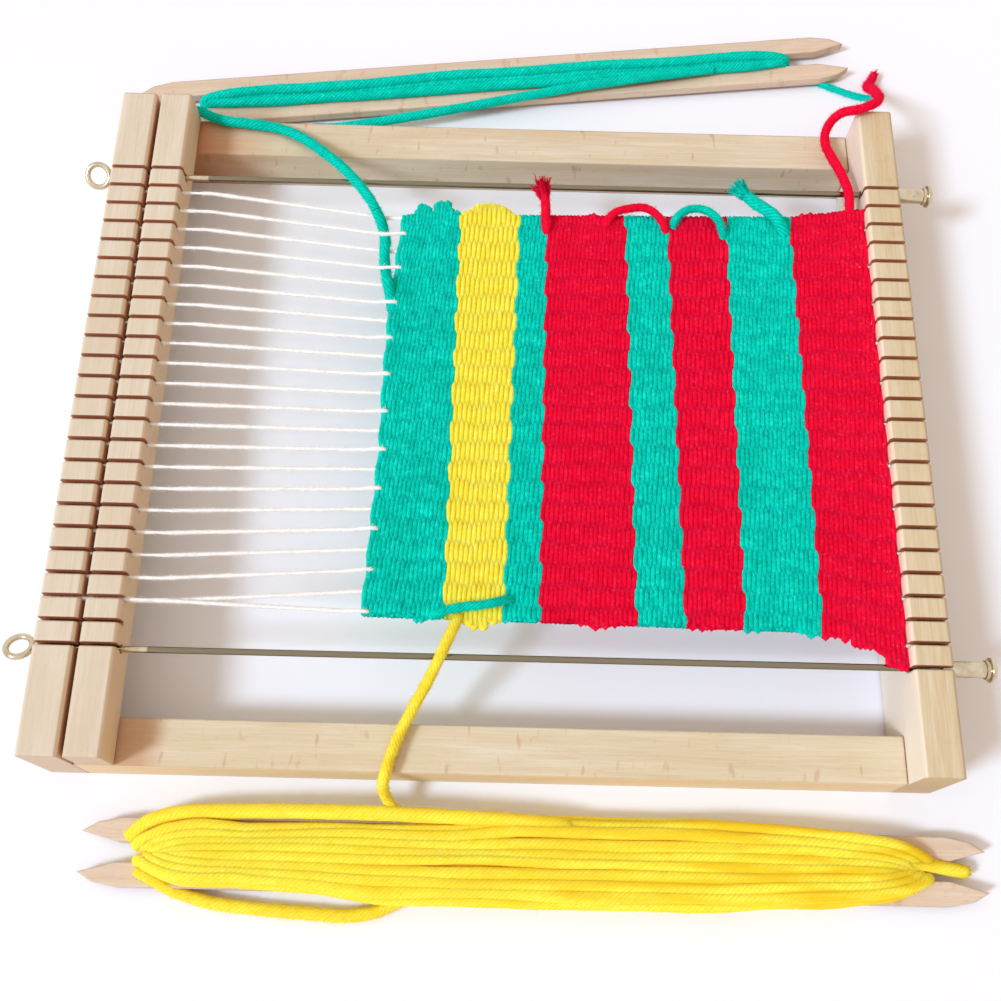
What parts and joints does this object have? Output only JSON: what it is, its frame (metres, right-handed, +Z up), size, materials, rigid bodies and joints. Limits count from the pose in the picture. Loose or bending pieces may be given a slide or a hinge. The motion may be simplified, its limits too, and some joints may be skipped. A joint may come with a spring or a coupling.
{
  "type": "tapestry loom",
  "caption": "Small wooden frame loom with notched bars, a loose notched bar on two steel rods, a striped cloth on its warp and two wound stick shuttles.",
  "frame": {"origin": "on the table under the middle of the box round the loom and its two shuttles, without the free yarns", "axes": "+Z up; the warp runs along X with the eyes of the rods at -X; the bars run along Y, with the yellow shuttle at -Y"},
  "size_m": [0.3254, 0.362, 0.0405],
  "materials": {
    "beech": "bare sanded beech with ray flecks",
    "shuttle_wood": "bare sanded beech",
    "steel": "bright nickel plated steel",
    "white_cotton": "twisted cotton thread",
    "green_wool": "soft plied wool",
    "yellow_wool": "soft plied wool",
    "red_wool": "soft plied wool"
  },
  "bodies": {
    "frame": {"outer_bar": "beech", "right_bar": "beech", "back_rail": "beech", "front_rail": "beech", "back_left_dowel_low": "beech", "back_left_dowel_high": "beech", "back_right_dowel_low": "beech", "back_right_dowel_high": "beech", "front_left_dowel_low": "beech", "front_left_dowel_high": "beech", "front_right_dowel_low": "beech", "front_right_dowel_high": "beech", "warp_thread": "white_cotton", "green_band_1": "green_wool", "yellow_band_1": "yellow_wool", "green_band_2": "green_wool", "red_band_1": "red_wool", "green_band_3": "green_wool", "red_band_2": "red_wool", "green_band_4": "green_wool", "red_band_3": "red_wool", "green_working_yarn": "green_wool", "yellow_working_yarn": "yellow_wool", "red_tail": "red_wool", "green_weft_strand": "green_wool", "red_weft_end": "red_wool", "red_weft_float": "red_wool", "green_weft_loop": "green_wool", "green_weft_end": "green_wool", "green_weft_float": "green_wool"},
    "spacer": {"spacer_bar": "beech"},
    "back_rod": {"back_rod": "steel"},
    "back_nut": {"back_nut": "steel"},
    "front_rod": {"front_rod": "steel"},
    "front_nut": {"front_nut": "steel"},
    "yellow_shuttle": {"yellow_shuttle": "shuttle_wood", "yellow_winding": "yellow_wool", "yellow_loose_end": "yellow_wool"},
    "green_shuttle": {"green_shuttle": "shuttle_wood", "green_winding": "green_wool", "green_tail": "green_wool"}
  },
  "joints": [
    {"name": "spacer_slide", "type": "slide", "parent": "frame", "child": "spacer", "axis": [1, 0, 0], "range_m": [-0.0013, 0.01]},
    {"name": "back_rod_turn", "type": "hinge", "parent": "frame", "child": "back_rod", "pos_m": [-0.1443, 0.08104, 0.0287], "axis": [1, 0, 0], "range_deg": [-724, 2884]},
    {"name": "back_nut_draw", "type": "slide", "parent": "frame", "child": "back_nut", "axis": [1, 0, 0], "range_m": [-0.0064, 0.0016]},
    {"name": "front_rod_turn", "type": "hinge", "parent": "frame", "child": "front_rod", "pos_m": [-0.1443, -0.10296, 0.0287], "axis": [1, 0, 0], "range_deg": [-724, 2884]},
    {"name": "front_nut_draw", "type": "slide", "parent": "frame", "child": "front_nut", "axis": [1, 0, 0], "range_m": [-0.0064, 0.0016]},
    {"name": "yellow_shuttle_lift", "type": "slide", "parent": "frame", "child": "yellow_shuttle", "axis": [0, 0, 1], "range_m": [0, 0.06]},
    {"name": "green_shuttle_lift", "type": "slide", "parent": "frame", "child": "green_shuttle", "axis": [0, 0, 1], "range_m": [0, 0.06]}
  ],
  "couplings": [
    {"joint": "back_rod_turn", "follows": "back_nut_draw", "rad_per_m": -7854},
    {"joint": "front_rod_turn", "follows": "front_nut_draw", "rad_per_m": -7854}
  ]
}
